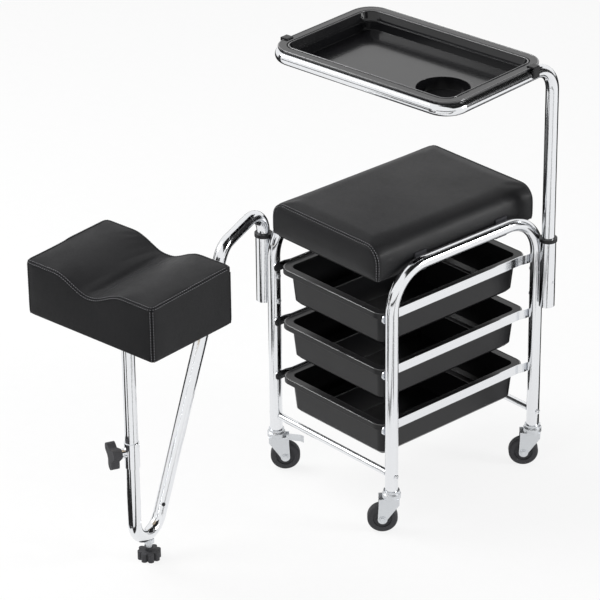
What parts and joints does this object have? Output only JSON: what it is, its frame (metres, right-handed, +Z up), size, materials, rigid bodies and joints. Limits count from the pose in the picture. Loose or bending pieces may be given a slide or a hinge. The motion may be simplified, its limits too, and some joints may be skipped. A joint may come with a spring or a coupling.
{
  "type": "pedicure stool trolley",
  "caption": "Rolling pedicure stool: padded seat on a chrome tube frame with drawers, a swing-out tray and a height-set foot rest on a bent arm.",
  "frame": {"origin": "middle of the object's box, on the floor", "axes": "+Z up, -Y towards the foot rest and the drawers' fronts, +X towards the side that carries the tray's post"},
  "size_m": [0.4125, 0.8344, 0.7682],
  "materials": {
    "chrome": "polished chrome plate",
    "zinc": "bright zinc plate",
    "dark_steel": "black powder coat",
    "black_plastic": "satin moulded plastic",
    "knob_plastic": "satin black plastic",
    "wheel_plastic": "hard black wheel plastic",
    "faux_leather": "black grained faux leather over foam",
    "plywood": "bare board under the upholstery"
  },
  "bodies": {
    "trolley": {"side_frame_right": "chrome", "side_frame_left": "chrome", "crossbar_front": "chrome", "crossbar_rear": "chrome", "crossbar_screws": "zinc", "rail_right_top": "chrome", "rail_right_middle": "chrome", "rail_right_bottom": "chrome", "rail_left_top": "chrome", "rail_left_middle": "chrome", "rail_left_bottom": "chrome", "seat_straps": "dark_steel", "seat_strap_screws": "zinc", "seat_board": "plywood", "seat_board_screws": "zinc", "seat_cushion": "faux_leather", "foot_socket": "chrome", "foot_socket_bush": "knob_plastic", "foot_socket_bolts": "zinc", "tray_socket": "chrome", "tray_socket_bush": "knob_plastic", "tray_socket_bolts": "zinc", "caster_stems": "chrome"},
    "caster_front_right": {"caster_fork_front_right": "zinc", "caster_axle_front_right": "zinc"},
    "wheel_front_right": {"caster_wheel_front_right": "wheel_plastic"},
    "caster_front_left": {"caster_fork_front_left": "zinc", "caster_axle_front_left": "zinc"},
    "wheel_front_left": {"caster_wheel_front_left": "wheel_plastic"},
    "caster_rear_right": {"caster_fork_rear_right": "zinc", "caster_axle_rear_right": "zinc"},
    "wheel_rear_right": {"caster_wheel_rear_right": "wheel_plastic"},
    "caster_rear_left": {"caster_fork_rear_left": "zinc", "caster_axle_rear_left": "zinc"},
    "wheel_rear_left": {"caster_wheel_rear_left": "wheel_plastic"},
    "brake_front_left": {"brake_lever_front_left": "zinc"},
    "brake_rear_left": {"brake_lever_rear_left": "zinc"},
    "drawer_top": {"drawer_top": "black_plastic"},
    "drawer_middle": {"drawer_middle": "black_plastic"},
    "drawer_bottom": {"drawer_bottom": "black_plastic"},
    "tray_arm": {"tray_arm": "chrome", "tray_arm_plug": "knob_plastic"},
    "tray": {"tray": "black_plastic", "tray_clips": "knob_plastic"},
    "foot_arm": {"foot_arm": "chrome", "arm_plug": "knob_plastic", "slide_tube": "zinc", "leveller_nut": "zinc"},
    "levelling_foot": {"levelling_foot": "knob_plastic", "levelling_stud": "zinc"},
    "pad": {"pad_post": "chrome", "pad_collar": "chrome", "pad_plate": "dark_steel", "pad_board": "plywood", "pad_screws": "zinc", "pad_cushion": "faux_leather"},
    "clamp": {"clamp_knob": "knob_plastic", "clamp_screw": "zinc"}
  },
  "joints": [
    {"name": "drawer_top_slide", "type": "slide", "parent": "trolley", "child": "drawer_top", "axis": [0, -1, 0], "range_m": [0, 0.12]},
    {"name": "drawer_middle_slide", "type": "slide", "parent": "trolley", "child": "drawer_middle", "axis": [0, -1, 0], "range_m": [0, 0.16]},
    {"name": "drawer_bottom_slide", "type": "slide", "parent": "trolley", "child": "drawer_bottom", "axis": [0, -1, 0], "range_m": [0, 0.21]},
    {"name": "caster_front_right_swivel", "type": "hinge", "parent": "trolley", "child": "caster_front_right", "pos_m": [0.14534, 0.06638, 0.0638], "axis": [0, 0, 1], "continuous": true},
    {"name": "caster_front_right_roll", "type": "hinge", "parent": "caster_front_right", "child": "wheel_front_right", "pos_m": [0.1353, 0.05524, 0.0255], "axis": [0.7431, -0.6691, 0], "continuous": true},
    {"name": "caster_front_left_swivel", "type": "hinge", "parent": "trolley", "child": "caster_front_left", "pos_m": [-0.14266, 0.06638, 0.0638], "axis": [0, 0, 1], "continuous": true},
    {"name": "caster_front_left_roll", "type": "hinge", "parent": "caster_front_left", "child": "wheel_front_left", "pos_m": [-0.13262, 0.07753, 0.0255], "axis": [-0.7431, 0.6691, 0], "continuous": true},
    {"name": "brake_front_left_press", "type": "hinge", "parent": "caster_front_left", "child": "brake_front_left", "pos_m": [-0.13128, 0.07902, 0.0587], "axis": [-0.7431, 0.6691, 0], "range_deg": [0, 12]},
    {"name": "caster_rear_right_swivel", "type": "hinge", "parent": "trolley", "child": "caster_rear_right", "pos_m": [0.14534, 0.39938, 0.0638], "axis": [0, 0, 1], "continuous": true},
    {"name": "caster_rear_right_roll", "type": "hinge", "parent": "caster_rear_right", "child": "wheel_rear_right", "pos_m": [0.1353, 0.38824, 0.0255], "axis": [0.7431, -0.6691, 0], "continuous": true},
    {"name": "caster_rear_left_swivel", "type": "hinge", "parent": "trolley", "child": "caster_rear_left", "pos_m": [-0.14266, 0.39938, 0.0638], "axis": [0, 0, 1], "continuous": true},
    {"name": "caster_rear_left_roll", "type": "hinge", "parent": "caster_rear_left", "child": "wheel_rear_left", "pos_m": [-0.1527, 0.38824, 0.0255], "axis": [0.7431, -0.6691, 0], "continuous": true},
    {"name": "brake_rear_left_press", "type": "hinge", "parent": "caster_rear_left", "child": "brake_rear_left", "pos_m": [-0.15404, 0.38675, 0.0587], "axis": [0.7431, -0.6691, 0], "range_deg": [0, 12]},
    {"name": "tray_arm_swing", "type": "hinge", "parent": "trolley", "child": "tray_arm", "pos_m": [0.17084, 0.39938, 0.434], "axis": [0, 0, 1], "continuous": true},
    {"name": "tray_lift", "type": "slide", "parent": "tray_arm", "child": "tray", "axis": [0, 0, 1], "range_m": [0, 0.06]},
    {"name": "foot_arm_swing", "type": "hinge", "parent": "trolley", "child": "foot_arm", "pos_m": [-0.16816, 0.06638, 0.434], "axis": [0, 0, -1], "range_deg": [-20, 150]},
    {"name": "pad_height", "type": "slide", "parent": "foot_arm", "child": "pad", "axis": [0, 0, 1], "range_m": [0, 0.08]},
    {"name": "clamp_turn", "type": "hinge", "parent": "pad", "child": "clamp", "pos_m": [-0.04887, -0.32379, 0.218], "axis": [-0.342, -0.9397, 0], "range_deg": [-90, 90]},
    {"name": "levelling_turn", "type": "hinge", "parent": "foot_arm", "child": "levelling_foot", "pos_m": [-0.06013, -0.28697, 0], "axis": [0, 0, 1], "continuous": true}
  ]
}
